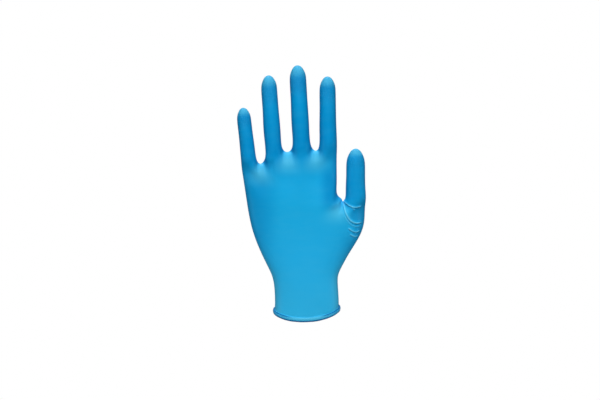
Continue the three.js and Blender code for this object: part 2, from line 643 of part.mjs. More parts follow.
function splitOnce() {
  const middles = new Map();
  const keyOf = (a, b) => (a < b ? `${a}_${b}` : `${b}_${a}`);
  for (const triangle of triangles) {
    triangle.forEach((a, i) => {
      const b = triangle[(i + 1) % 3];
      if (middles.has(keyOf(a, b))) return;
      const along = outside[b].clone().sub(outside[a]);
      if (along.length() < 1.5 * FOLD_GRAIN) return;
      const middle = average([outside[a], outside[b]])
        .addScaledVector(normals[a], -along.dot(normals[a]) / 8)
        .addScaledVector(normals[b], along.dot(normals[b]) / 8);
      outside.push(middle);
      normals.push(average([normals[a], normals[b]]).normalize());
      const candidate = outside.length - 1;
      if ([a, b, candidate].some(isByFold)) {
        middles.set(keyOf(a, b), candidate);
        return;
      }
      outside.pop();
      normals.pop();
    });
  }
  triangles = triangles.flatMap((triangle) => {
    const cuts = triangle.map((a, i) => middles.get(keyOf(a, triangle[(i + 1) % 3])));
    const count = cuts.filter((cut) => cut !== undefined).length;
    if (count === 0) return [triangle];
    const turn = count === 1 ? cuts.findIndex((cut) => cut !== undefined) : (cuts.indexOf(undefined) + 1) % 3;
    const [a, b, c] = [0, 1, 2].map((i) => triangle[(i + turn) % 3]);
    const [ab, bc, ca] = [0, 1, 2].map((i) => cuts[(i + turn) % 3]);
    if (count === 1) return [[a, ab, c], [ab, b, c]];
    if (count === 2) return [[a, ab, c], [ab, bc, c], [ab, b, bc]];
    return [[a, ab, ca], [ab, b, bc], [ca, bc, c], [ab, bc, ca]];
  });
  return middles.size;
}
for (let round = 0; round < SPLIT_ROUNDS; round++) splitOnce();

const lifts = outside.map((p, i) => foldLift(p, normals[i]));
outside.forEach((p, i) => p.addScaledVector(normals[i], lifts[i]));
const vertices = [...outside, ...inside];
const skin = [...triangles, ...innerFace.map((triangle) => triangle.map((i) => i + outside.length).reverse())];

// The bead: an oval roll on the outside of the film's edge, flush with the film's inner face.
const joinAngle = Math.acos(THREE.MathUtils.clamp(beadInward, -1, 1));
function beadRing(share) {
  const angle = mix(Math.PI - joinAngle, -Math.PI, share);
  return edge.map((i) => {
    const outward = new THREE.Vector3(normals[i].x, normals[i].y, 0).normalize();
    const place = outside[i]
      .clone()
      .addScaledVector(outward, BEAD_THICKNESS / 2 - WALL + (BEAD_THICKNESS / 2) * Math.cos(angle));
    place.z += (BEAD_HEIGHT / 2) * Math.sin(angle) - beadJoin;
    vertices.push(place);
    return vertices.length - 1;
  });
}

const innerEdge = edge.map((i) => i + outside.length);
const beadRings = Array.from({ length: BEAD_SIDES }, (_, i) => beadRing((i + 1) / BEAD_SIDES));
[edge, ...beadRings].forEach((upper, i) => {
  const lower = beadRings[i] ?? innerEdge;
  upper.forEach((a, k) => {
    const next = (k + 1) % edge.length;
    skin.push([a, lower[k], lower[next]], [a, lower[next], upper[next]]);
  });
});

const geometry = new THREE.BufferGeometry();
geometry.setAttribute("position", new THREE.Float32BufferAttribute(vertices.flatMap((p) => p.toArray()), 3));
geometry.setIndex(skin.flat());
geometry.computeVertexNormals();

const nitrile = new THREE.MeshStandardMaterial({ color: 0x1a9fd6, roughness: 0.5, metalness: 0 });
const glove = new THREE.Mesh(geometry, nitrile);
glove.name = "glove";

const group = new THREE.Group();
group.add(glove);
export default group;
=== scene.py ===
"""A nitrile exam glove, filled out as it is when worn, in soft light before a plain white backdrop.

Lengths are millimetres until the mesh is made, which scales them to the frame's glove. The glove stands
with its fingers up: X points to the thumb, Y to the palm side and Z to the fingertips.
"""
import math

import bpy
import numpy as np
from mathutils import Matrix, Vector


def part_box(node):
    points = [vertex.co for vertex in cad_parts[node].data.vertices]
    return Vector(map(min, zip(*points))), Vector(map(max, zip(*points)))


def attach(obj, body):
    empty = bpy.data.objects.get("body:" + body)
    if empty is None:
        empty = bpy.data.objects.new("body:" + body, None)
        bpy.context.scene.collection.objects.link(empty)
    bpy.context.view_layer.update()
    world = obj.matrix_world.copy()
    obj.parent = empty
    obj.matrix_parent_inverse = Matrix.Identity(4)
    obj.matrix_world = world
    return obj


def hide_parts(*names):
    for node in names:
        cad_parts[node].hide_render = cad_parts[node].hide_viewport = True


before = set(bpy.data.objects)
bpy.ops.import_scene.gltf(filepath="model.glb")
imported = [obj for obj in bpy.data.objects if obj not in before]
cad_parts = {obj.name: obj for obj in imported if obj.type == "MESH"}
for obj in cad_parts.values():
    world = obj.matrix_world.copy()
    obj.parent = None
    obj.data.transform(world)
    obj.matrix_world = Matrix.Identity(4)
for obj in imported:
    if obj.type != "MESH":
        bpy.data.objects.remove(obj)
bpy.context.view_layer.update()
GLOVE_LENGTH = 240.2
low_corner, high_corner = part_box("glove")
UNIT = (high_corner[2] - low_corner[2]) / GLOVE_LENGTH  # metres to a millimetre of the sizes below

# Film and bead
WALL = 1.0
BEAD_THICKNESS = 2.8
BEAD_HEIGHT = 4.2
BEAD_DIP = 5.4  # how much lower the bead hangs at the front and back than at its two sides
BEAD_TILT = 1.3  # how much higher than its middle the bead is on the thumb's side

# Cuff and hand, measured over the outside of the film
WRIST_BREADTH = 60.2
WRIST_DEPTH = 42.0
FORK_BREADTH = 110.8  # across the palm and the root of the thumb
FORK_BACK = 17.0  # from the middle plane out to the back of the hand
FORK_PALM = 18.0  # from the middle plane out to the palm
MOUND_DEPTH = 3.5  # how much further the ball of the thumb stands out
KNUCKLE_BREADTH = 89.3  # across the roots of the four fingers
KNUCKLE_BACK = 13.0
KNUCKLE_PALM = 10.0
KNUCKLE_EDGE = 4.0  # how far behind the middle plane the hand's edges lie at the finger roots
KNUCKLE_SHIFT = -16.2  # how far to the little finger's side the finger roots lie

# Webs between the digits
LITTLE_WEB_HEIGHT = 148.3
MIDDLE_WEB_HEIGHT = 159.5
INDEX_WEB_HEIGHT = 160.6
THUMB_WEB_HEIGHT = 112.0
WEB_SLOPE = 14.0  # how far below a web's edge its column meets the finger roots
WEB_CORNER = 2.6  # how far above a web's edge the sides of the fingers begin
WEB_HOLLOW = 1.0  # depth of the hollow in the back of the hand at a web's column
WEB_DEPTH = 1.0  # from the middle plane to the back of a web's edge
FINGER_SLOPE = 19.0  # how far the film slopes down from a finger web's edge to the back of the hand
THUMB_SLOPE = 22.0  # the same below the thumb's web
FORK_FALL = 0.43  # the thumb's fork lies this share of a web's slope below the web's edge
FORK_HOLLOW = 0.3  # share of the hollow that the back has at the fork
PALM_SLOPE = 0.5  # the palm side's slope is this share of the back's
ROOT_FALL = 0.4  # the finger roots meet the hand this share of the slope below the webs
EDGE_FALL = 0.25  # the same on the index finger's outer side
WEB_BACK = 0.08  # a web's edge lies this share of the back's depth behind the middle plane
FORK_HEIGHT = THUMB_WEB_HEIGHT - FORK_FALL * WEB_SLOPE

# Digits
LITTLE_LENGTH = 53.2
LITTLE_BREADTH = 13.6
LITTLE_DEPTH = 13.8
RING_LENGTH = 77.7
RING_BREADTH = 15.4
RING_DEPTH = 15.6
MIDDLE_LENGTH = 80.9
MIDDLE_BREADTH = 16.0
MIDDLE_DEPTH = 16.2
INDEX_LENGTH = 69.8
INDEX_BREADTH = 15.6
INDEX_DEPTH = 15.8
THUMB_LENGTH = 50.4
THUMB_BREADTH = 18.2
THUMB_DEPTH = 17.6
THUMB_FORWARD = 3.5  # how far to the back of the hand the thumb's axis starts
FOOT_DEPTH = 0.58  # a finger's axis starts this share of its depth in from the back of the hand
LITTLE_INSET = 0.53  # the little finger's axis lies this share of its breadth in from the roots' edge
INDEX_INSET = 0.52  # the same on the index finger's side
RING_ACROSS = -0.318  # places of the two middle axes, from -1 at the roots' left edge to 1 at the right
MIDDLE_ACROSS = 0.264
THUMB_WEB_OUT = 0.6  # the thumb's web lies this share of its breadth from its axis

# Columns of the film from the little finger's side to the thumb's side: the angle round the wrist, the
# place across the hand at the thumb's fork and at the finger roots, and the share of the thumb's ball.
COLUMNS = [
    ("little_edge", 195, -0.955, -0.924, 0.0),
    ("little", 210, -0.85, -0.83, 0.0),
    ("little_web", 225, -0.7, -0.601, 0.0),
    ("ring", 240, -0.5, -0.33, 0.0),
    ("middle_web", 255, -0.29, -0.025, 0.0),
    ("middle", 270, -0.07, 0.261, 0.0),
    ("index_web", 285, 0.15, 0.563, 0.2),
    ("index", 300, 0.36, 0.82, 0.7),
    ("thumb_web", 315, 0.56, 0.937, 1.0),
    ("thumb", 330, 0.74, 1.0, 1.0),
    ("thumb_edge", 345, 0.92, 1.0, 0.5),
]
LEFT_SIDE = ("left", 180, -1.0, -1.0, 0.0)
RIGHT_SIDE = ("right", 0, 1.0, 1.0, 0.0)
PALM_COLUMNS = 9  # the first nine go on above the fork, and the last two turn up into the thumb

# Sections between the bead and the fork: share of the fork's height, shares of the way from the wrist's
# half breadth on the left and right and from its depth to the fork's, and the share of the thumb's ball.
HAND_SECTIONS = [
    (0.14, -0.01, 0.035, 0.0, 0.0),
    (0.29, 0.02, 0.0, 0.0, 0.0),
    (0.39, 0.11, 0.012, 0.1, 0.1),
    (0.48, 0.28, 0.172, 0.25, 0.4),
    (0.58, 0.48, 0.4, 0.45, 0.8),
    (0.7, 0.69, 0.705, 0.7, 1.0),
    (0.84, 0.87, 0.95, 0.88, 0.8),
]
RIM_FLARE = 0.03  # share of the way out to the fork that the rim has on the thumb's side
FORK_MOUND = 0.3  # share of the ball of the thumb that is left at the fork

# Sections between the fork and the finger roots: shares of the way up and of the way out to the thumb's web.
PALM_SECTIONS = [(0.09, 0.5), (0.19, 0.02), (0.42, 0.0), (0.7, 0.0), (1.0, 0.0)]

# Sections of a digit: share of its straight length, and shares of its breadth and depth.
DIGIT_SECTIONS = [(0.09, 1.07, 1.1), (0.38, 1.02, 1.02), (0.7, 0.98, 0.98), (1.0, 0.97, 0.95)]
TIP_LENGTH = 0.9  # the rounded tip is this share of the digit's breadth long
TIP_SECTIONS = [0.5, 0.85]  # shares of the rounded tip's length
CURL_POWER = 4  # the digits bend mostly near their tips
SECTION_POWER = 2.5  # 2 makes the hand's sections ellipses, and more makes them flatter over the back
WRIST_POWER = 2.7  # the same at the wrist
AXIS_STEPS = 24


def mix(a, b, share):
    return a + (b - a) * share


def smoothstep(x, low, high):
    t = np.clip((x - low) / (high - low), 0.0, 1.0)
    return t * t * (3 - 2 * t)


def between(x, rise, whole, fall, end):
    """1 between two values, with soft ends: it rises from rise to whole and falls from fall to end."""
    return smoothstep(x, rise, whole) * (1 - smoothstep(x, fall, end))


def bump(values, middle, width):
    """1 at the middle, and falling off smoothly to both sides."""
    return np.exp(-(((values - middle) / width) ** 2))


def knuckle_x(across):
    return KNUCKLE_SHIFT + across * KNUCKLE_BREADTH / 2


def fork_x(across):
    return across * FORK_BREADTH / 2


class Digit:
    """A finger or the thumb: where its axis starts, its size, and its lean, pitch and curl in degrees."""

    def __init__(self, foot, length, breadth, depth, lean, pitch, curl):
        self.foot = np.array(foot)
        self.length = length
        self.breadth = breadth
        self.depth = depth
        self.lean = math.radians(lean)
        self.pitch = pitch
        self.curl = curl

    def frame_at(self, distance):
        """Centre of the axis at a distance from the foot, with its directions across and to the palm."""
        centre = self.foot.copy()
        upward = None
        for i in range(AXIS_STEPS):
            share = (i + 0.5) / AXIS_STEPS * distance / self.length
            pitch = math.radians(self.pitch + self.curl * share**CURL_POWER)
            level = math.cos(pitch)
            upward = np.array([-math.sin(self.lean) * level, math.sin(pitch), math.cos(self.lean) * level])
            centre += upward * distance / AXIS_STEPS
        across = np.array([math.cos(self.lean), 0.0, math.sin(self.lean)])
        return centre, across, np.cross(upward, across)


def finger(x, height, length, breadth, depth, lean, curl):
    foot = (x, FOOT_DEPTH * depth - KNUCKLE_BACK, height)
    return Digit(foot, length, breadth, depth, lean, 2, curl)


LITTLE_X = knuckle_x(-1) + LITTLE_INSET * LITTLE_BREADTH
INDEX_X = knuckle_x(1) - INDEX_INSET * INDEX_BREADTH
RING_FOOT = (LITTLE_WEB_HEIGHT + MIDDLE_WEB_HEIGHT) / 2
MIDDLE_FOOT = (MIDDLE_WEB_HEIGHT + INDEX_WEB_HEIGHT) / 2
LITTLE = finger(LITTLE_X, LITTLE_WEB_HEIGHT, LITTLE_LENGTH, LITTLE_BREADTH, LITTLE_DEPTH, 6.2, 20)
RING = finger(knuckle_x(RING_ACROSS), RING_FOOT, RING_LENGTH, RING_BREADTH, RING_DEPTH, 3.8, 20)
MIDDLE = finger(knuckle_x(MIDDLE_ACROSS), MIDDLE_FOOT, MIDDLE_LENGTH, MIDDLE_BREADTH, MIDDLE_DEPTH, 2.9, 22)
INDEX = finger(INDEX_X, INDEX_WEB_HEIGHT, INDEX_LENGTH, INDEX_BREADTH, INDEX_DEPTH, 0.6, 20)
FINGERS = [LITTLE, RING, MIDDLE, INDEX]
THUMB_FOOT = ((FORK_BREADTH - THUMB_BREADTH) / 2, -THUMB_FORWARD, THUMB_WEB_HEIGHT)
THUMB = Digit(THUMB_FOOT, THUMB_LENGTH, THUMB_BREADTH, THUMB_DEPTH, 0, 2, 14)

# Crest lines of the folds at the root of the thumb: height, width of the ridge and depth of the crease
# below it as a share of the height, then places across as shares of the fork's half breadth and up as
# shares of the thumb web's height.
FOLDS = [
    (0.8, 0.85, 0.35, [0.61, 0.66, 0.725, 0.79, 0.865, 0.945], [1.03, 1.003, 0.983, 0.97, 0.969, 0.976]),
    (1.0, 0.9, 0.35, [0.625, 0.645, 0.672, 0.735, 0.835, 0.965], [1.005, 0.955, 0.912, 0.86, 0.832, 0.832]),
    (0.7, 0.85, 0.35, [0.7, 0.776, 0.84, 0.91], [0.795, 0.767, 0.756, 0.767]),
    (0.55, 0.8, 0.3, [0.73, 0.79, 0.835, 0.875], [0.742, 0.722, 0.714, 0.724]),
    (0.4, 0.7, 0.2, [0.765, 0.785, 0.8, 0.815], [0.972, 0.96, 0.95, 0.94]),
    (0.35, 0.7, 0.2, [0.64, 0.7, 0.77, 0.85, 0.93], [0.9, 0.85, 0.815, 0.8, 0.803]),
]

# The cage: points that the film passes through, and the four-sided faces between them.
points = []
faces = []


def add_point(x, y, z):
    points.append((float(x), float(y), float(z)))
    return len(points) - 1


def band(lower, upper):
    """Joins two rings of the same length by a band of faces, the second ring above the first."""
    count = len(lower)
    for i in range(count):
        j = (i + 1) % count
        faces.append((lower[i], lower[j], upper[j], upper[i]))


def oval_place(section, x, side, column):
    """Place on a flattened oval section. side is -1 on the back of the hand and 1 on the palm."""
    left, right, back, palm, edge, mound = section
    across = min(1.0, max(-1.0, (2 * x - left - right) / (right - left)))
    fullness = (1 - abs(across) ** SECTION_POWER) ** (1 / SECTION_POWER)
    if side < 0:
        return mix(-edge, -back, fullness)
    return mix(-edge, palm, fullness) + MOUND_DEPTH * mound * column[4]


def hand_ring(columns, point, right_side):
    """A ring of the hand: the back from left to right, the right side, and the palm back to the left."""
    front = [point(column, -1) for column in columns]
    back = [point(column, 1) for column in columns][::-1]
    return front + [right_side] + back + [point(LEFT_SIDE, 1)]


BEAD_INWARD = 1 - 2 * WALL / BEAD_THICKNESS
BEAD_JOIN = BEAD_HEIGHT / 2 * math.sqrt(1 - BEAD_INWARD**2)


def rim_height(aside):
    return BEAD_HEIGHT / 2 + BEAD_JOIN + BEAD_DIP * aside**2 + BEAD_TILT * aside


def lower_ring(up, left, right, deepen, mound):
    low = -mix(WRIST_BREADTH, FORK_BREADTH, left) / 2
    high = mix(WRIST_BREADTH, FORK_BREADTH, right) / 2
    back = mix(WRIST_DEPTH / 2, FORK_BACK, deepen)
    palm = mix(WRIST_DEPTH / 2, FORK_PALM, deepen)
    section = (low, high, back, palm, 0.0, mound)
    middle = (low + high) / 2
    reach = (high - low) / 2
    flatness = float(smoothstep(up, 0.3, 1.0))

    def point(column, side):
        angle = math.radians(column[1])
        depth = back if side < 0 else palm
        flat_x = middle + column[2] * reach
        flat_y = oval_place(section, flat_x, side, column)
        round_x = math.copysign(abs(math.cos(angle)) ** (2 / WRIST_POWER), math.cos(angle))
        round_y = side * abs(math.sin(angle)) ** (2 / WRIST_POWER)
        x = mix(middle + reach * round_x, flat_x, flatness)
        y = mix(depth * round_y, flat_y, flatness)
        return add_point(x, y, rim_height(round_x) if up == 0 else up * FORK_HEIGHT)

    return hand_ring(COLUMNS, point, point(RIGHT_SIDE, 1))


ring = lower_ring(0, 0, RIM_FLARE, 0, 0)
for sizes in HAND_SECTIONS:
    upper = lower_ring(*sizes)
    band(ring, upper)
    ring = upper

# The fork: its web points sit lower than the rest of the ring, at the foot of the web's slope.
FORK_SECTION = (fork_x(-1), fork_x(1), FORK_BACK, FORK_PALM, 0.0, FORK_MOUND)
FORK_DROPS = {"index": 0.15, "thumb_web": 0.45, "thumb": 0.15}


def fork_z(column):
    return FORK_HEIGHT - WEB_SLOPE * FORK_DROPS.get(column[0], 0.0)


def fork_point(column, side):
    x = fork_x(column[2])
    hollow = FORK_HOLLOW * WEB_HOLLOW if side < 0 and column[0] == "thumb_web" else 0.0
    return add_point(x, oval_place(FORK_SECTION, x, side, column) + hollow, fork_z(column))


fork = hand_ring(COLUMNS, fork_point, fork_point(RIGHT_SIDE, 1))
band(ring, fork)

# The thumb's web runs from front to back between the palm's tube and the thumb's.
THUMB_WEB_X = THUMB.foot[0] - THUMB_WEB_OUT * THUMB_BREADTH
thumb_web = add_point(THUMB_WEB_X, 0, THUMB_WEB_HEIGHT)
last = len(fork) - 1
thumb_root = fork[PALM_COLUMNS - 1 : last - PALM_COLUMNS + 1] + [thumb_web]
palm_root = fork[:PALM_COLUMNS] + [thumb_web] + fork[last - PALM_COLUMNS :]

# The palm above the fork, up to the line of the finger roots.
WEB_HEIGHTS = {
    "little_web": LITTLE_WEB_HEIGHT,
    "middle_web": MIDDLE_WEB_HEIGHT,
    "index_web": INDEX_WEB_HEIGHT,
}
palm_columns = COLUMNS[:PALM_COLUMNS]


def knuckle_z(column, side):
    """Height of the finger roots at a column: low at the webs, higher on the fingers and the palm's side."""
    drop = WEB_SLOPE * (1.0 if side < 0 else PALM_SLOPE)
    if column[0] in WEB_HEIGHTS:
        return WEB_HEIGHTS[column[0]] - drop
    i = -1 if column is LEFT_SIDE else palm_columns.index(column)
    if i < 2:
        return LITTLE_WEB_HEIGHT - ROOT_FALL * drop
    if i > PALM_COLUMNS - 3:
        return INDEX_WEB_HEIGHT - ROOT_FALL * drop
    beside = WEB_HEIGHTS[palm_columns[i - 1][0]] + WEB_HEIGHTS[palm_columns[i + 1][0]]
    return beside / 2 - ROOT_FALL * drop


def upper_ring(up, flare):
    eased = float(smoothstep(up, 0.0, 1.0))
    left = mix(fork_x(-1), knuckle_x(-1), up)
    right = mix(knuckle_x(1), THUMB_WEB_X, flare)
    back = mix(FORK_BACK, KNUCKLE_BACK, eased)
    palm = mix(FORK_PALM, KNUCKLE_PALM, eased)
    edge = KNUCKLE_EDGE * eased
    mound = FORK_MOUND * (1 - float(smoothstep(up, 0.0, 0.6)))
    section = (left, right, back, palm, edge, mound)
    wide_section = (left, fork_x(1), back, palm, edge, mound)
    thumb_side = knuckle_x(COLUMNS[PALM_COLUMNS - 1][3]) - knuckle_x(1) + right

    def point(column, side):
        x = min(thumb_side, mix(fork_x(column[2]), knuckle_x(column[3]), up))
        place = oval_place(section, x, side, column)
        below = oval_place(wide_section, x, side, column)
        y = mix(below, place, float(smoothstep(up, -0.05, 0.8)))
        hollow = WEB_HOLLOW * eased**4 if side < 0 and column[0] in WEB_HEIGHTS else 0.0
        return add_point(x, y + hollow, mix(fork_z(column), knuckle_z(column, side), up))

    height = mix(THUMB_WEB_HEIGHT, INDEX_WEB_HEIGHT - EDGE_FALL * WEB_SLOPE, up)
    side_point = add_point(right, -edge, height)
    return hand_ring(palm_columns, point, side_point)


ring = palm_root
for sizes in PALM_SECTIONS:
    upper = upper_ring(*sizes)
    band(ring, upper)
    ring = upper
knuckles = ring

# The three webs between the fingers, each at the middle of a line from the back of the hand to the palm.
finger_webs = [
    add_point(knuckle_x(column[3]), -WEB_BACK * KNUCKLE_BACK, WEB_HEIGHTS[column[0]])
    for column in palm_columns
    if column[0] in WEB_HEIGHTS
]


def digit_ring(digit, distance, breadth, depth, sides=(None, None)):
    """A digit's own eight-sided ring.

    sides are the heights of its right and left points, where webs pull them down.
    """
    ring_points = []
    for angle in (225, 270, 315, 0, 45, 90, 135, 180):
        height = sides[0] if angle == 0 else sides[1] if angle == 180 else None
        at = distance if height is None else (height - digit.foot[2]) / math.cos(digit.lean)
        centre, across, to_palm = digit.frame_at(at)
        place = centre + across * (breadth / 2 * math.cos(math.radians(angle)))
        place = place + to_palm * (depth / 2 * math.sin(math.radians(angle)))
        ring_points.append(add_point(*place))
    return ring_points


digit_points = []
digit_ends = []


def add_digit(root, digit, webs=(None, None)):
    tip = TIP_LENGTH * digit.breadth
    straight = digit.length - tip
    top = DIGIT_SECTIONS[-1]
    rings = [(along * straight, breadth, depth) for along, breadth, depth in DIGIT_SECTIONS]
    for share in TIP_SECTIONS:
        shrink = math.sqrt(1 - share**2)
        rings.append((straight + share * tip, top[1] * shrink, top[2] * shrink))
    below = root
    for k, (distance, breadth, depth) in enumerate(rings):
        sides = [web + WEB_CORNER if web and k == 0 else None for web in webs]
        upper = digit_ring(digit, distance, breadth * digit.breadth, depth * digit.depth, sides)
        band(below, upper)
        if distance <= straight:
            digit_points.extend(upper)
        else:
            digit_ends.extend(upper)
        below = upper
    end = add_point(*digit.frame_at(digit.length)[0])
    digit_ends.append(end)
    for i in range(0, 8, 2):
        faces.append((below[i], below[i + 1], below[(i + 2) % 8], end))


# Each finger takes three points of the back, three of the palm side, and the web or edge on either side.
for i, digit in enumerate(FINGERS):
    front = knuckles[2 * i : 2 * i + 3]
    right = finger_webs[i] if i < 3 else knuckles[PALM_COLUMNS]
    back = knuckles[2 * PALM_COLUMNS - 2 - 2 * i : 2 * PALM_COLUMNS + 1 - 2 * i]
    left = finger_webs[i - 1] if i > 0 else knuckles[-1]
    heights = (points[right][2] if i < 3 else None, points[left][2] if i > 0 else None)
    add_digit(front + [right] + back + [left], digit, heights)
add_digit(thumb_root, THUMB)


# The surface: the cage's points move along their normals until the smooth film passes through their
# places. The points where six faces meet stay as they are, so that the film rounds off there.
FIT_ROUNDS = 18
MEETING_FACES = 6


def fit_cage(points, faces):
    """Cage points whose Catmull-Clark limit surface passes through the given points."""
    wanted = np.array(points)
    count = len(wanted)
    near = [set() for _ in range(count)]
    far = [[] for _ in range(count)]
    sides = {}
    for face in faces:
        for k, a in enumerate(face):
            b = face[(k + 1) % 4]
            near[a].add(b)
            near[b].add(a)
            far[a].append(face[(k + 2) % 4])
            key = (min(a, b), max(a, b))
            sides[key] = sides.get(key, 0) + 1
    weights = np.zeros((count, count))
    rims = [[] for _ in range(count)]
    for (a, b), used in sides.items():
        if used == 1:
            rims[a].append(b)
            rims[b].append(a)
    fixed = np.zeros(count, bool)
    for i in range(count):
        if rims[i]:
            weights[i, i] = 4 / 6
            for j in rims[i]:
                weights[i, j] += 1 / 6
            continue
        n = len(near[i])
        fixed[i] = n == MEETING_FACES
        weights[i, i] = n / (n + 5)
        for j in near[i]:
            weights[i, j] += 4 / (n * (n + 5))
        for j in far[i]:
            weights[i, j] += 1 / (n * (n + 5))
    outward = vertex_normals(wanted, np.array(faces))
    free = np.array([len(rim) > 0 for rim in rims])
    free[digit_ends] = True
    on_digit = np.zeros(count, bool)
    on_digit[digit_points] = True
    cage = wanted.copy()
    for _ in range(FIT_ROUNDS):
        miss = wanted - weights @ cage
        across = (miss * outward).sum(axis=1, keepdims=True) * outward
        level = miss * np.array([1, 1, 0])
        miss = np.where(free[:, None], miss, np.where(on_digit[:, None], level, across))
        miss[fixed] = 0
        cage += miss
    return cage


def smooth_film(cage, faces, levels):
    """Points and faces of the cage's limit surface after some steps of subdivision."""
    mesh = bpy.data.meshes.new("cage")
    mesh.from_pydata([tuple(p) for p in cage], [], faces)
    obj = bpy.data.objects.new("cage", mesh)
    bpy.context.scene.collection.objects.link(obj)
    modifier = obj.modifiers.new("smooth", "SUBSURF")
    modifier.levels = levels
    modifier.render_levels = levels
    modifier.use_limit_surface = True
    modifier.boundary_smooth = "ALL"
    graph = bpy.context.evaluated_depsgraph_get()
    result = bpy.data.meshes.new_from_object(obj.evaluated_get(graph), depsgraph=graph)
    flat = np.empty(len(result.vertices) * 3)
    result.vertices.foreach_get("co", flat)
    quads = np.empty(len(result.loops), int)
    result.loops.foreach_get("vertex_index", quads)
    bpy.data.objects.remove(obj)
    bpy.data.meshes.remove(mesh)
    bpy.data.meshes.remove(result)
    return flat.reshape(-1, 3), quads.reshape(-1, 4)


def vertex_normals(places, corners):
    """Outward unit normals, from faces given as rows of corners."""
    a, b, c = places[corners[:, 0]], places[corners[:, 1]], places[corners[:, 2]]
    if corners.shape[1] == 4:
        d = places[corners[:, 3]]
        face_normals = np.cross(c - a, d - b)
    else:
        face_normals = np.cross(b - a, c - a)
    result = np.zeros_like(places)
    for k in range(corners.shape[1]):
        np.add.at(result, corners[:, k], face_normals)
    return result / np.linalg.norm(result, axis=1, keepdims=True)


CURVE_STEPS = 12
LINE_PLACES = 41


def crest_line(across, up):
    """Evenly spaced places on the smooth curve through a fold's table, as rows of x and z.

    Between two corners it is the cubic of Catmull and Rom, from its four coefficients.
    """
    corners = np.array([(fork_x(a), u * THUMB_WEB_HEIGHT) for a, u in zip(across, up)])
    corners = np.vstack([2 * corners[0] - corners[1], corners, 2 * corners[-1] - corners[-2]])
    curve = []
    for i in range(1, len(corners) - 2):
        p, q, r, s = corners[i - 1 : i + 3]
        square = 2 * p - 5 * q + 4 * r - s
        cube = 3 * q - p - 3 * r + s
        for t in np.linspace(0, 1, CURVE_STEPS, endpoint=False):
            curve.append(0.5 * (2 * q + (r - p) * t + square * t**2 + cube * t**3))
    curve.append(corners[-2])
    curve = np.array(curve)
    lengths = np.concatenate([[0], np.cumsum(np.linalg.norm(np.diff(curve, axis=0), axis=1))])
    at = np.linspace(0, lengths[-1], LINE_PLACES)
    return np.column_stack([np.interp(at, lengths, curve[:, k]) for k in range(2)])


def beside_line(line, places):
    """How far places lie from a line, how far above it, and how far along it."""
    start = line[:-1]
    step = np.diff(line, axis=0)
    square = (step**2).sum(axis=1)
    reach = places[:, None, :] - start[None]
    share = np.clip((reach * step).sum(axis=2) / square, 0, 1)
    gap = np.linalg.norm(reach - share[..., None] * step, axis=2)
    nearest = gap.argmin(axis=1)
    rows = np.arange(len(places))
    beside = reach[rows, nearest]
    cross = step[nearest, 0] * beside[:, 1] - step[nearest, 1] * beside[:, 0]
    above = cross / np.sqrt(square[nearest])
    return gap[rows, nearest], above, (nearest + share[rows, nearest]) / len(step)


CRESTS = [(height, width, crease, crest_line(across, up)) for height, width, crease, across, up in FOLDS]
FOLD_REACH = 2.6  # the film is finer up to this far from a crest
FOLD_GRAIN = 0.42  # and its triangles there end up about this long
FOLD_SIDE = 25.0  # all folds lie further to the thumb's side than this,
FOLD_MIDDLE = 97.0  # and about this height
FOLD_SPAN = 24.0  # no further up or down from it than this
SPLIT_ROUNDS = 3


def fold_area(places, normals):
    """Places on the back and side of the thumb's root, where the folds are."""
    level = np.abs(places[:, 2] - FOLD_MIDDLE) < FOLD_SPAN
    return np.flatnonzero((normals[:, 1] < 0.25) & (places[:, 0] > FOLD_SIDE) & level)


def by_fold(places, normals):
    near = np.zeros(len(places), bool)
    front = fold_area(places, normals)
    for _, _, _, line in CRESTS:
        gap, _, _ = beside_line(line, places[front][:, [0, 2]])
        near[front] |= gap < FOLD_REACH
    return near


def split_by_folds(places, triangles):
    """Splits the triangles beside the folds once, and keeps the surface's curve."""
    normals = vertex_normals(places, triangles)
    near = by_fold(places, normals)
    middles = {}
    added = []
    for triangle in triangles[near[triangles].any(axis=1)]:
        for k in range(3):
            a, b = int(triangle[k]), int(triangle[(k + 1) % 3])
            key = (min(a, b), max(a, b))
            if key in middles or not (near[a] or near[b]):
                continue
            along = places[b] - places[a]
            if np.linalg.norm(along) < 1.5 * FOLD_GRAIN:
                continue
            bend = normals[b] * along.dot(normals[b]) - normals[a] * along.dot(normals[a])
            middles[key] = len(places) + len(added)
            added.append((places[a] + places[b]) / 2 + bend / 8)
    if not added:
        return places, triangles
    pieces = []
    for triangle in triangles.tolist():
        a, b, c = triangle
        keys = [(min(a, b), max(a, b)), (min(b, c), max(b, c)), (min(c, a), max(c, a))]
        cuts = [middles.get(key) for key in keys]
        count = 3 - cuts.count(None)
        if count == 0:
            pieces.append((a, b, c))
            continue
        if count == 1:
            turn = next(k for k in range(3) if cuts[k] is not None)
        else:
            turn = (cuts.index(None) + 1) % 3 if count == 2 else 0
        a, b, c = triangle[turn:] + triangle[:turn]
        ab, bc, ca = cuts[turn:] + cuts[:turn]
        if count == 1:
            pieces += [(a, ab, c), (ab, b, c)]
        elif count == 2:
            pieces += [(a, ab, c), (ab, bc, c), (ab, b, bc)]
        else:
            pieces += [(a, ab, ca), (ab, b, bc), (ca, bc, c), (ab, bc, ca)]
    return np.vstack([places, added]), np.array(pieces)


# Shares of a fold's width: how widely the ridge falls off above and below its crest, how far below the
# crest the crease lies and how wide it is, and how wide the painted highlight on the crest is.
RIDGE_ABOVE = 1.5
RIDGE_BELOW = 0.7
CREASE_PLACE = 1.35
CREASE_WIDTH = 0.5
HIGHLIGHT_WIDTH = 0.6
HIGHLIGHT_PLACE = 0.15  # how far above the crest the painted highlight is strongest
HIGHLIGHT_STRENGTH = 2.2
FOLD_END = 0.15  # a fold rises and fades over this share of its length


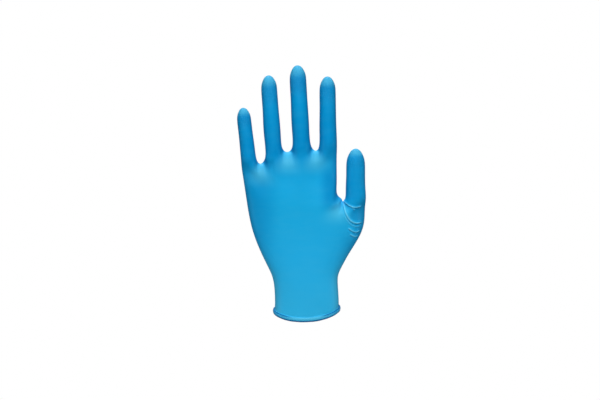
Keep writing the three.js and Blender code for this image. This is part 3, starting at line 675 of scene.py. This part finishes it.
def fold_lift(places, normals):
    """How far the folds lift the film, and how strong a highlight is painted on their crests.

    A fold is a narrow ridge with a crease below it.
    """
    lift = np.zeros(len(places))
    highlight = np.zeros(len(places))
    front = fold_area(places, normals)
    on_back = smoothstep(-normals[front, 1], -0.2, 0.2)
    for height, width, crease, line in CRESTS:
        _, above, along = beside_line(line, places[front][:, [0, 2]])
        ends = between(along, 0.0, FOLD_END, 1 - FOLD_END, 1.0)
        ridge = bump(above, 0, np.where(above > 0, RIDGE_ABOVE, RIDGE_BELOW) * width)
        valley = bump(above, -CREASE_PLACE * width, CREASE_WIDTH * width)
        lift[front] += height * ends * on_back * (ridge - crease * valley)
        highlight[front] += HIGHLIGHT_STRENGTH * height * ends * on_back * bump(above, HIGHLIGHT_PLACE, HIGHLIGHT_WIDTH * width)
    return lift, highlight


# The film slopes from each web's edge down to the back of the hand, and fills the gaps between the digits'
# roots: a web's place across and its height, how far down it slopes, and how deep the back lies there.
SLOPES = [
    (knuckle_x(column[3]), WEB_HEIGHTS[column[0]], FINGER_SLOPE, KNUCKLE_BACK)
    for column in palm_columns
    if column[0] in WEB_HEIGHTS
]
THUMB_WEB_SLOPE = (THUMB_WEB_X, THUMB_WEB_HEIGHT, THUMB_SLOPE, FORK_BACK)
SLOPE_POWER = 1.9  # 1 makes the slopes straight, and more makes them bulge
ROOT_GROWTH = 1.07  # a digit's root is this many times as thick as its middle
THUMB_ROOT_GROWTH = 1.2  # and the thumb's is this many times as broad
FOLD_AWAY = 12  # how fast a root falls away past its own edge
LIP_FALL = 2  # how fast a slope falls away above the web's edge
ROUNDING = 5.0  # how widely the slopes and the roots of the fingers run into each other
THUMB_ROUNDING = 4.0  # the same below the thumb's web,
MOUND_ROUNDING = 2.4  # between the palm and the thumb's root,
LIP_ROUNDING = 1.2  # and where the slopes run out into the rest of the back
FINGER_FADE = 5.0  # how far from its foot a slope between the fingers starts to fade into the back
THUMB_FADE = 7.0  # the same below the thumb's web
PALM_TURN = 0.22  # the back turns down to the thumb's web from this share of the web's place across,
PALM_RUN = 0.7  # and is down after this share more


def soft_min(a, b, reach):
    share = np.clip(0.5 + 0.5 * (b - a) / reach, 0, 1)
    return b + (a - b) * share - reach * share * (1 - share)


def soft_max(a, b, reach):
    return -soft_min(-a, -b, reach)


def root_depth(digit, x, z, growth=ROOT_GROWTH):
    """How far a digit that went on straight down would stand out to the back at a place."""
    axis_x = digit.foot[0] - (z - digit.foot[2]) * math.tan(digit.lean)
    share = np.abs(x - axis_x) / (growth * digit.breadth / 2)
    bulge = ROOT_GROWTH * digit.depth / 2 * np.sqrt(np.clip(1 - share**2, 0, 1))
    return np.where(share < 1, bulge - digit.foot[1], -digit.foot[1] - FOLD_AWAY * (share - 1))


def slope_depth(slope, z):
    """How far the slope below a web stands out to the back, and how far below the web's edge a place is."""
    _, height, reach, back = slope
    down = height - z
    share = np.clip(down / reach, 0, 1)
    rise = (1 - (1 - share) ** SLOPE_POWER) ** (1 / SLOPE_POWER)
    return WEB_DEPTH + (back - WEB_DEPTH) * rise + LIP_FALL * np.minimum(0, down), down


def web_slopes(places, normals):
    """The film's places, pressed in between the roots of the digits to the slopes below the webs."""
    x, z = places[:, 0], places[:, 2]
    depth = -places[:, 1]
    front = normals[:, 1] < 0.1

    roots = np.max([root_depth(digit, x, z) for digit in FINGERS], axis=0)
    nearest = np.argmin([np.abs(x - slope[0]) for slope in SLOPES], axis=0)
    floors = np.array([slope_depth(slope, z) for slope in SLOPES])
    rows = np.arange(len(places))
    floor_depth, down = floors[nearest, 0, rows], floors[nearest, 1, rows]
    allowed = soft_max(roots, floor_depth, ROUNDING)
    left = LITTLE.foot[0] - (z - LITTLE.foot[2]) * math.tan(LITTLE.lean)
    right = INDEX.foot[0]
    inside_roots = between(x, left - 1, left + 2, right - 2, right + 1)
    share = front * inside_roots * between(down, -6, -1, FINGER_SLOPE - FINGER_FADE, FINGER_SLOPE)
    depth = depth + (soft_min(depth, allowed, LIP_ROUNDING) - depth) * share

    across = np.clip(x / fork_x(1), -1, 1)
    side = np.clip((x - PALM_TURN * THUMB_WEB_X) / (PALM_RUN * THUMB_WEB_X), 0, 1)
    palm = FORK_BACK * (1 - np.abs(across) ** SECTION_POWER) ** (1 / SECTION_POWER)
    palm = palm * (1 - side**3) ** (1 / 3)
    floor_depth, down = slope_depth(THUMB_WEB_SLOPE, z)
    allowed = soft_max(palm, root_depth(THUMB, x, z, THUMB_ROOT_GROWTH), MOUND_ROUNDING)
    allowed = soft_max(allowed, floor_depth, THUMB_ROUNDING)
    beside = between(x, 8, 16, THUMB.foot[0] - 2, THUMB.foot[0] + 3)
    share = front * beside * between(down, -9, 7, THUMB_SLOPE - THUMB_FADE, THUMB_SLOPE)
    depth = depth + (soft_min(depth, allowed, LIP_ROUNDING) - depth) * share
    return np.column_stack([x, -depth, z])


LEVELS = 3
cage = fit_cage(points, faces)
outside, quads = smooth_film(cage, faces, LEVELS)
outside = web_slopes(outside, vertex_normals(outside, quads))
plain_normals = vertex_normals(outside, quads)
inside = outside - WALL * plain_normals


def open_edge(quads):
    """The open edge of the film, in order round the wrist."""
    directed = {(int(q[k]), int(q[(k + 1) % 4])) for q in quads for k in range(4)}
    following = {a: b for a, b in directed if (b, a) not in directed}
    ordered = [min(following)]
    while len(ordered) < len(following):
        ordered.append(following[ordered[-1]])
    return np.array(ordered)


edge = open_edge(quads)
triangles = np.vstack([quads[:, [0, 1, 2]], quads[:, [0, 2, 3]]])
for _ in range(SPLIT_ROUNDS):
    outside, triangles = split_by_folds(outside, triangles)
normals = vertex_normals(outside, triangles)
lift, fold_highlight = fold_lift(outside, normals)
outside = outside + lift[:, None] * normals

# The bead: the film's edge rolled outwards on itself, with its turns showing as fine lines. It sways a
# little round the wrist: how far, in how many waves, and where they start.
BEAD_SIDES = 28
JOIN_ANGLE = math.acos(BEAD_INWARD)
SWAYS = [(0.1, 5, 0.7), (0.07, 11, 2.1), (0.04, 23, 0.4)]
SWAY_OUT = 0.5  # share of the sway that shows outwards
SWAY_UP = 0.6  # and up and down
TURN_DEPTH = 0.07
TURN_LINES = 9


def bead_angle(k):
    """Where a ring lies round the bead's section: 0 outside, a quarter turn at its top."""
    return mix(math.pi - JOIN_ANGLE, -math.pi, k / BEAD_SIDES)


def bead_rings():
    """Rings round the bead, from the film's outer face over the roll and back to its inner face."""
    start = outside[edge]
    outward = plain_normals[edge] * np.array([1, 1, 0])
    outward /= np.linalg.norm(outward, axis=1, keepdims=True)
    around = np.arctan2(start[:, 1], start[:, 0])
    sway = sum(far * np.sin(waves * around + begin) for far, waves, begin in SWAYS)
    rings = []
    for k in range(1, BEAD_SIDES + 1):
        angle = bead_angle(k)
        flush = math.sin(math.pi * k / BEAD_SIDES) ** 0.5 if k < BEAD_SIDES else 0.0
        turns = TURN_DEPTH * math.cos(TURN_LINES * angle) * flush
        reach = BEAD_THICKNESS / 2 + turns + SWAY_OUT * sway * flush
        rise = BEAD_HEIGHT / 2 + turns + SWAY_UP * sway * flush
        out = BEAD_THICKNESS / 2 - WALL + reach * math.cos(angle)
        ring = start + outward * np.reshape(out, (-1, 1))
        ring[:, 2] += rise * math.sin(angle) - BEAD_JOIN
        rings.append(ring)
    return rings


# The mesh: outer face, inner face and bead, closed into one skin.
vertices = np.vstack([outside, inside] + bead_rings())
first = len(outside) + len(inside)  # the bead's first point
rows = [edge] + [first + k * len(edge) + np.arange(len(edge)) for k in range(BEAD_SIDES)]
rows.append(edge + len(outside))
skin = [tuple(triangle) for triangle in triangles.tolist()]
skin += [tuple(quad[::-1]) for quad in (quads + len(outside)).tolist()]
for upper, lower in zip(rows[:-1], rows[1:]):
    for k in range(len(edge)):
        j = (k + 1) % len(edge)
        skin.append((int(upper[k]), int(lower[k]), int(lower[j]), int(upper[j])))

mesh = bpy.data.meshes.new("glove_film")
mesh.from_pydata([tuple(v) for v in (vertices * UNIT).tolist()], [], skin)
mesh.polygons.foreach_set("use_smooth", np.ones(len(mesh.polygons), bool))
mesh.update()
film = bpy.data.objects.new("glove_film", mesh)
bpy.context.scene.collection.objects.link(film)


# What the material reads at each place: how thick the film is, with painted shade added, where it is
# stretched pale, with painted sheen and highlights added, where the fingertips and their gripping texture
# are, and where the folds' crests and the bead are, with their painted highlights and shade.
def write_attribute(name, values):
    attribute = mesh.attributes.new(name, "FLOAT", "POINT")
    attribute.data.foreach_set("value", values.astype(np.float32))


def spread(values, on_bead):
    """Values of the outer face, with the same ones for the inner face and one for all of the bead."""
    bead = np.full(len(vertices) - first, on_bead)
    return np.concatenate([values, values[: len(inside)], bead])


def along_digit(digit, places):
    """Share of the way along a digit, and how far from its axis in half breadths.

    The axis goes on for half its length below the digit's foot.
    """
    axis = digit.frame_at(digit.length)[0] - digit.foot
    share = (places - digit.foot) @ axis / axis.dot(axis)
    nearest = digit.foot + np.clip(share, -0.5, 1)[:, None] * axis
    return share, np.linalg.norm(places - nearest, axis=1) / (digit.breadth / 2)


# Where the film's looks fade out: away from a digit's axis in half breadths, and up along it in shares.
OWN_REACH = (1.5, 2.1)  # the digit itself, up to its neighbours
BODY_REACH = (1.1, 1.7)  # the thick film of a finger
ROOT_REACH = (0.95, 1.3)  # and of the thumb's root
BODY_START = (-0.3, 0.12)
ROOT_START = (-0.45, -0.25)
THUMB_START = (-0.05, 0.1)
GRIP_START = (0.58, 0.75)
TIP_START = (0.83, 0.94)
BAND_BELOW_TIP = (0.6, 0.8, 0.8, 0.9)


def digit_values():
    """How much thicker the film is on the digits, with a band of painted shade below each fingertip, and how
    far each place belongs to a tip, where a highlight is painted, or to the gripping part.
    """
    thickness_and_shade = np.zeros(len(outside))
    tip_highlight = np.zeros(len(outside))
    grip = np.zeros(len(outside))
    for digit in FINGERS + [THUMB]:
        share, away = along_digit(digit, outside)
        own = 1 - smoothstep(away, *OWN_REACH)
        if digit is THUMB:
            root = (1 - smoothstep(away, *ROOT_REACH)) * smoothstep(share, *ROOT_START)
            body = 0.75 * mix(root, own, smoothstep(share, *THUMB_START))
        else:
            body = (1 - smoothstep(away, *BODY_REACH)) * smoothstep(share, *BODY_START)
        # A band of painted shade just below each fingertip, deepest on the middle finger, where the digit
        # bends away from the light.
        below_tip = (0.4 if digit is MIDDLE else 0.1) * between(share, *BAND_BELOW_TIP)
        thickness_and_shade = np.maximum(thickness_and_shade, body + own * below_tip)
        # The tips are painted paler, as a highlight where they curl up toward the light.
        tip_highlight = np.maximum(tip_highlight, own * smoothstep(share, *TIP_START))
        grip = np.maximum(grip, own * smoothstep(share, *GRIP_START))
    return thickness_and_shade, tip_highlight, grip


thickness_and_shade, tip_highlight, grip = digit_values()
across, height = outside[:, 0], outside[:, 2]
sideways = np.abs(normals[:, 0])
low = 1 - smoothstep(height, 45, 85)  # the cuff and the wrist

# Painted shade: the film is painted deep blue, as if thicker, on the glove's sides where they turn away from
# the light, beside the index finger above the thumb, and on the palm's edge below the little finger.
turned = smoothstep(sideways, 0.12, 0.6) * (1 - low)
crook_top = THUMB_WEB_HEIGHT + 40
crook = between(across, THUMB_WEB_X - 26, THUMB_WEB_X - 14, THUMB_WEB_X - 9, THUMB_WEB_X - 3)
crook *= between(height, THUMB_WEB_HEIGHT - 10, THUMB_WEB_HEIGHT + 5, crook_top - 15, crook_top)
heel = smoothstep(-across, 22, 46) * (1 - low)
thickness_and_shade = np.max([thickness_and_shade, 0.7 * turned, 0.85 * crook, 0.65 * heel], axis=0)

# Painted sheen on the wrist's sides, and in a triangle below each web the film stretched pale, with a
# painted highlight on the slope there.
stretch_and_sheen = 0.55 * smoothstep(sideways, 0.5, 0.95) * low
pale_places = [slope[:2] for slope in SLOPES] + [(THUMB_WEB_X - 6.5, THUMB_WEB_HEIGHT + 1)]
for place, top in pale_places:
    down = top - height
    half_breadth = 4.0 + 0.55 * np.maximum(down, 0)
    fade = between(down, -4, 2, 5, 25) * smoothstep(-outside[:, 1], -3, 1)
    stretch_and_sheen = np.maximum(stretch_and_sheen, bump(across, place, half_breadth) * fade)
stretch_and_sheen *= 1 - 0.8 * crook

write_attribute("thickness_and_shade", spread(thickness_and_shade, 0.0))
write_attribute("tip_highlight", spread(tip_highlight, 0.0))
write_attribute("grip", spread(grip, 0.0))
# The whole bead is painted pale, as a highlight.
write_attribute("stretch_and_sheen", spread(stretch_and_sheen, 1.0))

# The bead is several turns of film thick and a little deeper blue all round, more so towards its sides.
# Painted shade darkens its lower edge, which faces down away from the light, painted shadow darkens the
# crease above it at the sides, and a painted highlight runs above its middle at the front and back.
BEAD_HIGHLIGHT_TURN = 55  # degrees up round the bead to the painted highlight, and how wide that is
BEAD_HIGHLIGHT_WIDTH = 14
beside = np.abs(outside[edge, 0]) / (WRIST_BREADTH / 2)
at_sides = 0.15 + 0.35 * smoothstep(beside, 0.3, 1.0)
bead_deep_and_shade = []
bead_highlight = []
for k in range(1, BEAD_SIDES + 1):
    turn = math.degrees(bead_angle(k))
    lower_edge = float(smoothstep(-turn, -5, 30))
    crease = float(smoothstep(turn, 20, 60)) * smoothstep(beside, 0.35, 0.65)
    bead_deep_and_shade.append(np.maximum(np.maximum(lower_edge, crease), at_sides))
    bead_highlight.append(0.35 * bump(turn, BEAD_HIGHLIGHT_TURN, BEAD_HIGHLIGHT_WIDTH) * (1 - smoothstep(beside, 0.2, 0.45)))
# Painted highlight on the folds' crests, where they face up to the light.
crest_highlight = spread(np.clip(fold_highlight / 2, 0, 0.8), 0.0)[:first]
write_attribute("bead", np.concatenate([np.zeros(first)] + bead_deep_and_shade))
write_attribute("crest_highlight", np.concatenate([crest_highlight] + bead_highlight))

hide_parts("glove")
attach(film, "root")


class Shading:
    """A new material's nodes and the links between them."""

    def __init__(self, name):
        self.material = bpy.data.materials.new(name)
        self.material.use_nodes = True
        self.tree = self.material.node_tree
        self.shader = self.tree.nodes["Principled BSDF"]

    def node(self, kind, inputs=None, **settings):
        made = self.tree.nodes.new(kind)
        for key, value in settings.items():
            setattr(made, key, value)
        for key, value in (inputs or {}).items():
            made.inputs[key].default_value = value
        return made

    def join(self, output, entry):
        self.tree.links.new(output, entry)

    def attribute(self, name):
        return self.node("ShaderNodeAttribute", attribute_name=name).outputs["Fac"]

    def noise(self, place, scale, detail):
        made = self.node("ShaderNodeTexNoise", {"Scale": scale, "Detail": detail})
        self.join(place, made.inputs["Vector"])
        return made.outputs["Fac"]

    def mapped(self, value, from_low, from_high, to_low, to_high):
        ends = {"From Min": from_low, "From Max": from_high, "To Min": to_low, "To Max": to_high}
        made = self.node("ShaderNodeMapRange", ends)
        self.join(value, made.inputs["Value"])
        return made.outputs["Result"]

    def maths(self, operation, first_value, second_value, clamp=False):
        """One operation on an output and a number, or on two outputs."""
        made = self.node("ShaderNodeMath", operation=operation, use_clamp=clamp)
        self.join(first_value, made.inputs[0])
        if isinstance(second_value, float):
            made.inputs[1].default_value = second_value
        else:
            self.join(second_value, made.inputs[1])
        return made.outputs["Value"]

    def toward(self, below, colour, share):
        """The colour below, mixed toward another colour by a share."""
        made = self.node("ShaderNodeMix", data_type="RGBA")
        self.join(share, made.inputs["Factor"])
        self.join(below, made.inputs[6])
        made.inputs[7].default_value = (*colour, 1)
        return made.outputs[2]

    def bumped(self, value, strength, distance, below=None):
        made = self.node("ShaderNodeBump", {"Strength": strength, "Distance": distance})
        self.join(value, made.inputs["Height"])
        if below:
            self.join(below, made.inputs["Normal"])
        return made.outputs["Normal"]


# Colours of the nitrile. The first ones follow each other up the glove, as shares of the way to PALM_TOP;
# they are palest at the cuff, partly from thinner film and partly as painted light bounced up from below.
PALM_TOP = 0.16
COLOURS_UP = [
    (0.0, (0.027, 0.41, 0.71)),
    (0.35, (0.014, 0.355, 0.66)),
    (0.7, (0.008, 0.345, 0.645)),
    (1.0, (0.002, 0.3, 0.61)),
]
THICK_AND_SHADED = (0.0, 0.23, 0.52)  # the thicker film of the digits, and painted shade on the glove's sides, by the thumb and on the palm's edge
THICKEST_AND_SHADED = (0.0, 0.16, 0.43)  # just below the fingertips: thicker film and a band of painted shade
PALE_STRETCH_AND_SHEEN = (0.08, 0.435, 0.59)  # paler stretched film with painted highlights below the webs, painted sheen on the wrist's sides, and painted highlights on the tips and the bead
FLECK = (0.03, 0.38, 0.7)  # the bumps of the gripping texture
CREST_HIGHLIGHT = (0.13, 0.58, 0.82)  # painted highlight on the folds' crests and above the bead's middle
BEAD_SHADE = (0.0, 0.12, 0.33)  # painted shade on the bead's lower edge and painted shadow in its crease, with its deeper blue

# Patterns in the film, as how many there are in a metre, and how deep the two fine ones look.
UNEVEN_SCALE = 28.0
STREAK_SCALE = 70.0
GRAIN_SCALE = 900.0
GRAIN_DEPTH = 0.0003
GRIP_SCALE = 750.0
GRIP_DEPTH = 0.0012
ROUGHNESS = 0.42
SHINE = 0.06


def colour_up(paint, place):
    """Colour by height: palest at the cuff and deeper up the palm, partly for thinner film and partly as
    painted light bounced up from below.
    """
    split = paint.node("ShaderNodeSeparateXYZ")
    paint.join(place, split.inputs["Vector"])
    ramp = paint.node("ShaderNodeValToRGB")
    stops = ramp.color_ramp.elements
    while len(stops) < len(COLOURS_UP):
        stops.new(0.5)
    for stop, (position, colour) in zip(stops, COLOURS_UP):
        stop.position = position
        stop.color = (*colour, 1)
    paint.join(paint.mapped(split.outputs["Z"], 0.0, PALM_TOP, 0.0, 1.0), ramp.inputs["Fac"])
    return ramp.outputs["Color"]


def film_colour(paint, place, dimples, gripping):
    """Deep blue where the film is thicker and where shade is painted, paler where it is stretched and where
    sheen and highlights are painted, and a little uneven.
    """
    thick_and_shaded = paint.attribute("thickness_and_shade")
    uneven = paint.mapped(paint.noise(place, UNEVEN_SCALE, detail=3.0), 0.0, 1.0, -0.12, 0.12)
    # Deep blue for the thicker film of the digits and for painted shade on the sides, by the thumb, on the
    # palm's edge and below the fingertips.
    colour = paint.toward(colour_up(paint, place), THICK_AND_SHADED, paint.maths("ADD", thick_and_shaded, uneven, True))
    colour = paint.toward(colour, THICKEST_AND_SHADED, paint.maths("SUBTRACT", thick_and_shaded, 0.9, True))

    slanted = paint.node("ShaderNodeMapping", {"Rotation": (0.0, 0.5, 0.0), "Scale": (1.0, 1.0, 2.6)})
    paint.join(place, slanted.inputs["Vector"])
    streaks = paint.noise(slanted.outputs["Vector"], STREAK_SCALE, detail=4.0)
    streaks = paint.mapped(streaks, 0.4, 0.75, 0.0, 0.1)
    # Paler where the film is stretched, with painted sheen on the wrist's sides, painted highlights below
    # the webs, on the tips and on the bead, and along faint streaks in the film.
    tip_highlight = paint.maths("MULTIPLY", paint.attribute("tip_highlight"), 0.9)
    pale = paint.maths("MAXIMUM", paint.attribute("stretch_and_sheen"), streaks)
    pale = paint.maths("MAXIMUM", pale, tip_highlight)
    colour = paint.toward(colour, PALE_STRETCH_AND_SHEEN, paint.maths("MULTIPLY", pale, 0.55))

    flecks = paint.mapped(dimples, 0.08, 0.4, 0.0, 0.45)
    colour = paint.toward(colour, FLECK, paint.maths("MULTIPLY", flecks, gripping))
    # Painted highlights on the folds' crests and above the bead's middle.
    colour = paint.toward(colour, CREST_HIGHLIGHT, paint.attribute("crest_highlight"))
    # Painted shade on the bead's lower edge and painted shadow in its crease.
    return paint.toward(colour, BEAD_SHADE, paint.attribute("bead"))


def nitrile_material():
    """Nitrile: a deep blue to pale blue film with a soft sheen, a fine grain and gripping fingertips."""
    paint = Shading("nitrile")
    place = paint.node("ShaderNodeTexCoord").outputs["Object"]
    gripping = paint.attribute("grip")
    cells = paint.node("ShaderNodeTexVoronoi", {"Scale": GRIP_SCALE}, feature="DISTANCE_TO_EDGE")
    paint.join(place, cells.inputs["Vector"])
    dimples = cells.outputs["Distance"]
    colour = film_colour(paint, place, dimples, gripping)
    grain = paint.noise(place, GRAIN_SCALE, detail=2.0)
    fine = paint.bumped(grain, strength=0.12, distance=GRAIN_DEPTH)
    dimpled = paint.maths("MULTIPLY", dimples, gripping)
    rough = paint.bumped(dimpled, strength=0.7, distance=GRIP_DEPTH, below=fine)
    paint.join(colour, paint.shader.inputs["Base Color"])
    paint.join(rough, paint.shader.inputs["Normal"])
    paint.shader.inputs["Roughness"].default_value = ROUGHNESS
    paint.shader.inputs["Specular IOR Level"].default_value = SHINE
    return paint.material


film.data.materials.append(nitrile_material())


# Surroundings: a pale floor well below the glove, which is held up, and plain soft light on white.
def plain_material(name, colour, roughness):
    paint = Shading(name)
    paint.shader.inputs["Base Color"].default_value = (*colour, 1)
    paint.shader.inputs["Roughness"].default_value = roughness
    return paint.material


FLOOR_DEPTH = 0.6
FLOOR_RADIUS = 0.6
floor_place = (0, 0, -FLOOR_DEPTH)
bpy.ops.mesh.primitive_circle_add(vertices=96, radius=FLOOR_RADIUS, fill_type="NGON", location=floor_place)
floor = bpy.context.object
floor.name = "floor"
floor.data.materials.append(plain_material("pale_floor", (0.85, 0.85, 0.85), 0.8))

# The white world is bright to the camera and dim as a light.
SKY_LIGHT = 0.14
world = bpy.data.worlds.new("studio")
bpy.context.scene.world = world
world.use_nodes = True
world_tree = world.node_tree
sky = world_tree.nodes["Background"]
sky.inputs["Color"].default_value = (1, 1, 1, 1)
ray = world_tree.nodes.new("ShaderNodeLightPath")
strength = world_tree.nodes.new("ShaderNodeMapRange")
strength.inputs["To Min"].default_value = SKY_LIGHT
strength.inputs["To Max"].default_value = 1.0
world_tree.links.new(ray.outputs["Is Camera Ray"], strength.inputs["Value"])
world_tree.links.new(strength.outputs["Result"], sky.inputs["Strength"])

AIM = Vector((-0.006, 0, 0.1132))  # the middle of the picture


def place_toward(azimuth, elevation, distance):
    """A place at an azimuth from the front, an elevation and a distance from the middle of the picture."""
    a, e = math.radians(azimuth), math.radians(elevation)
    return AIM + distance * Vector((math.sin(a) * math.cos(e), -math.cos(a) * math.cos(e), math.sin(e)))


def soft_light(name, place, target, size, power, spread_angle=180):
    light = bpy.data.lights.new(name, "AREA")
    light.shape = "DISK"
    light.size = size
    light.energy = power
    light.spread = math.radians(spread_angle)
    obj = bpy.data.objects.new(name, light)
    obj.location = place
    obj.rotation_euler = (target - place).to_track_quat("-Z", "Y").to_euler()
    bpy.context.scene.collection.objects.link(obj)


key_place = place_toward(azimuth=0, elevation=48, distance=1.5)
soft_light("key", key_place, AIM, size=1.3, power=31)
back_place = place_toward(azimuth=180, elevation=52, distance=1.6)
soft_light("back_fill", back_place, AIM, size=1.2, power=24)
CUFF = Vector((0, 0, 0.035))
for side in (-1, 1):
    place = Vector((side * 0.6, -0.15, 0.0))
    soft_light("cuff_fill", place, CUFF, size=0.2, power=0.03, spread_angle=28)

CAMERA_DISTANCE = 1.6
PICTURE_BREADTH = 0.56603  # how much of the world the picture shows at the glove
SENSOR = 36  # millimetres, as is the lens
camera_data = bpy.data.cameras.new("camera")
camera_data.sensor_width = SENSOR
camera_data.lens = SENSOR * CAMERA_DISTANCE / PICTURE_BREADTH
camera = bpy.data.objects.new("camera", camera_data)
camera.location = place_toward(azimuth=0, elevation=10, distance=CAMERA_DISTANCE)
camera.rotation_euler = (AIM - camera.location).to_track_quat("-Z", "Y").to_euler()
bpy.context.scene.collection.objects.link(camera)
bpy.context.scene.camera = camera

bpy.context.scene.view_settings.view_transform = "Standard"
bpy.context.scene.view_settings.look = "None"
